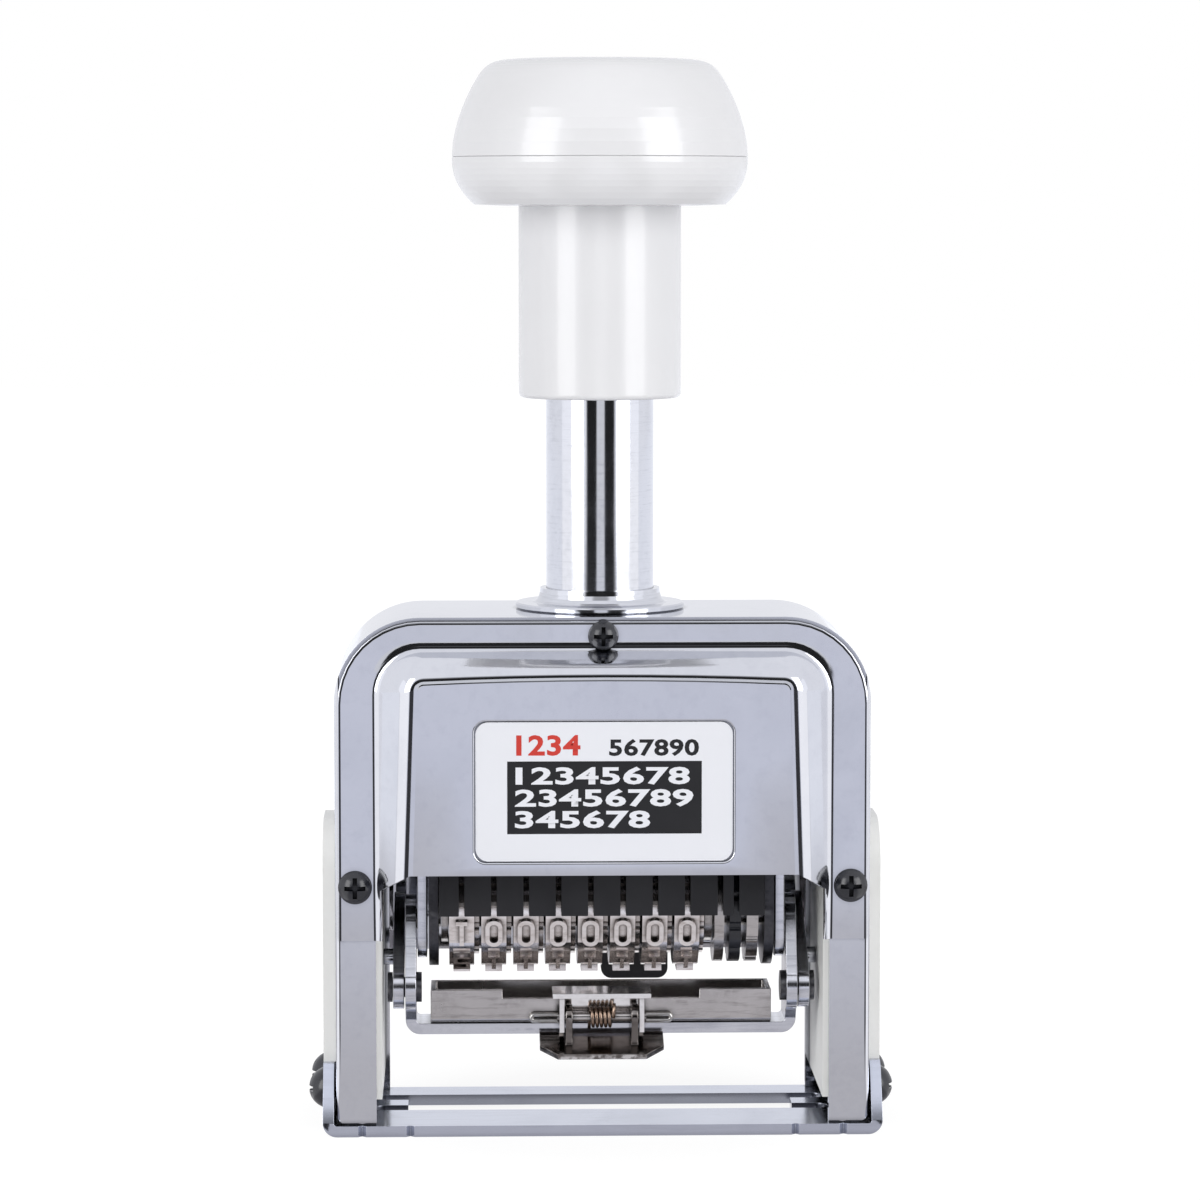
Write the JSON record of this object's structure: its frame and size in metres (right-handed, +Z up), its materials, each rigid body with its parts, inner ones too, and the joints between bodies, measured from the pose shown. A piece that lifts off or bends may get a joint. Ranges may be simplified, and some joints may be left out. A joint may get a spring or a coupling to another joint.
{
  "type": "numbering machine",
  "caption": "Hand-operated numbering machine: a knob-topped plunger slides in an upright frame and swings an ink pad clear of its row of number wheels.",
  "frame": {"origin": "on the desk, below the plunger's axis, at the middle of the base", "axes": "+Z up along the plunger, +X to the user's right, -Y towards the user"},
  "size_m": [0.086, 0.0432, 0.1559],
  "materials": {
    "chrome": "polished",
    "nickel": "satin",
    "spring_steel": "satin",
    "dark_steel": "satin",
    "black_metal": "satin",
    "white_plastic": "gloss",
    "nylon": "matte",
    "black_plastic": "gloss",
    "label": "satin"
  },
  "bodies": {
    "frame": {"base_plate": "chrome", "base_screws": "black_metal", "frame_yoke": "chrome", "leg_liners": "nylon", "side_strips": "nylon", "front_cover": "chrome", "rear_cover": "chrome", "cover_screws": "black_metal", "label_plate": "label", "collar": "chrome", "collar_nut": "nickel", "spring_hangers": "nickel", "guide_pins": "nickel"},
    "plunger": {"knob_top": "white_plastic", "knob_base": "white_plastic", "handle_neck": "white_plastic", "handle_nut": "nickel", "plunger_tube": "chrome", "tube_plug": "nickel", "yoke_bolt": "nickel", "stop_sleeve": "nylon", "plunger_yoke": "nickel", "yoke_sliders": "nylon", "case_bridge": "nickel", "case_plates": "dark_steel", "case_rods": "nickel", "comb_plate": "black_metal", "detent_comb": "spring_steel", "wheel_shaft": "nickel", "shaft_spacers": "chrome", "index_disc": "chrome", "bracket_pivots": "nickel", "return_springs": "spring_steel"},
    "pawl_swing": {"pawl_swing": "nickel", "feed_pawl": "spring_steel"},
    "repeat_dial": {"repeat_dial": "black_metal"},
    "number_wheel_1": {"number_wheel_1": "nickel"},
    "number_wheel_2": {"number_wheel_2": "nickel"},
    "number_wheel_3": {"number_wheel_3": "nickel"},
    "number_wheel_4": {"number_wheel_4": "nickel"},
    "number_wheel_5": {"number_wheel_5": "nickel"},
    "number_wheel_6": {"number_wheel_6": "nickel"},
    "number_wheel_7": {"number_wheel_7": "nickel"},
    "number_wheel_8": {"number_wheel_8": "nickel"},
    "pad_carrier": {"pad_bracket": "chrome", "pad_tray": "nickel", "link_pivots": "nickel", "clip_bracket": "chrome", "clip_pin": "nickel", "clip_spring": "spring_steel", "clip_wire": "spring_steel"},
    "pad_clip": {"clip_lever": "chrome"},
    "pad_links": {"pad_links": "chrome"},
    "lock_button": {"lock_button": "black_plastic"}
  },
  "joints": [
    {"name": "press", "type": "slide", "parent": "frame", "child": "plunger", "axis": [0, 0, -1], "range_m": [0, 0.0216], "stiffness_N_per_m": 300, "springref_m": -0.03, "deforming": ["return_springs"]},
    {"name": "wheel_1_spin", "type": "hinge", "parent": "plunger", "child": "number_wheel_1", "pos_m": [0, 0, 0.0315], "axis": [1, 0, 0], "continuous": true},
    {"name": "wheel_2_spin", "type": "hinge", "parent": "plunger", "child": "number_wheel_2", "pos_m": [0, 0, 0.0315], "axis": [1, 0, 0], "continuous": true},
    {"name": "wheel_3_spin", "type": "hinge", "parent": "plunger", "child": "number_wheel_3", "pos_m": [0, 0, 0.0315], "axis": [1, 0, 0], "continuous": true},
    {"name": "wheel_4_spin", "type": "hinge", "parent": "plunger", "child": "number_wheel_4", "pos_m": [0, 0, 0.0315], "axis": [1, 0, 0], "continuous": true},
    {"name": "wheel_5_spin", "type": "hinge", "parent": "plunger", "child": "number_wheel_5", "pos_m": [0, 0, 0.0315], "axis": [1, 0, 0], "continuous": true},
    {"name": "wheel_6_spin", "type": "hinge", "parent": "plunger", "child": "number_wheel_6", "pos_m": [0, 0, 0.0315], "axis": [1, 0, 0], "continuous": true},
    {"name": "wheel_7_spin", "type": "hinge", "parent": "plunger", "child": "number_wheel_7", "pos_m": [0, 0, 0.0315], "axis": [1, 0, 0], "continuous": true},
    {"name": "wheel_8_spin", "type": "hinge", "parent": "plunger", "child": "number_wheel_8", "pos_m": [0, 0, 0.0315], "axis": [1, 0, 0], "continuous": true},
    {"name": "repeat_dial_turn", "type": "hinge", "parent": "plunger", "child": "repeat_dial", "pos_m": [0, 0, 0.0315], "axis": [1, 0, 0], "continuous": true},
    {"name": "pawl_rock", "type": "hinge", "parent": "plunger", "child": "pawl_swing", "pos_m": [0, 0, 0.0315], "axis": [1, 0, 0], "range_deg": [0, 36]},
    {"name": "pad_swing", "type": "hinge", "parent": "plunger", "child": "pad_carrier", "pos_m": [0, -0.002, 0.0296], "axis": [-1, 0, 0], "range_deg": [0, 90]},
    {"name": "link_swing", "type": "hinge", "parent": "pad_carrier", "child": "pad_links", "pos_m": [0, -0.0055, 0.02], "axis": [1, 0, 0], "range_deg": [0, 104.52]},
    {"name": "clip_press", "type": "hinge", "parent": "pad_carrier", "child": "pad_clip", "pos_m": [0, -0.0093, 0.0161], "axis": [-1, 0, 0], "range_deg": [0, 18], "stiffness_Nm_per_rad": 0.01, "springref_deg": -17.19},
    {"name": "lock_push", "type": "slide", "parent": "frame", "child": "lock_button", "axis": [0, -1, 0], "range_m": [0, 0.0012], "stiffness_N_per_m": 400, "springref_m": -0.003}
  ],
  "couplings": [
    {"joint": "pawl_rock", "follows": "press", "rad_per_m": 29.089},
    {"joint": "pad_swing", "follows": "press", "rad_per_m": 72.722},
    {"joint": "link_swing", "follows": "press", "rad_per_m": 84.443}
  ]
}
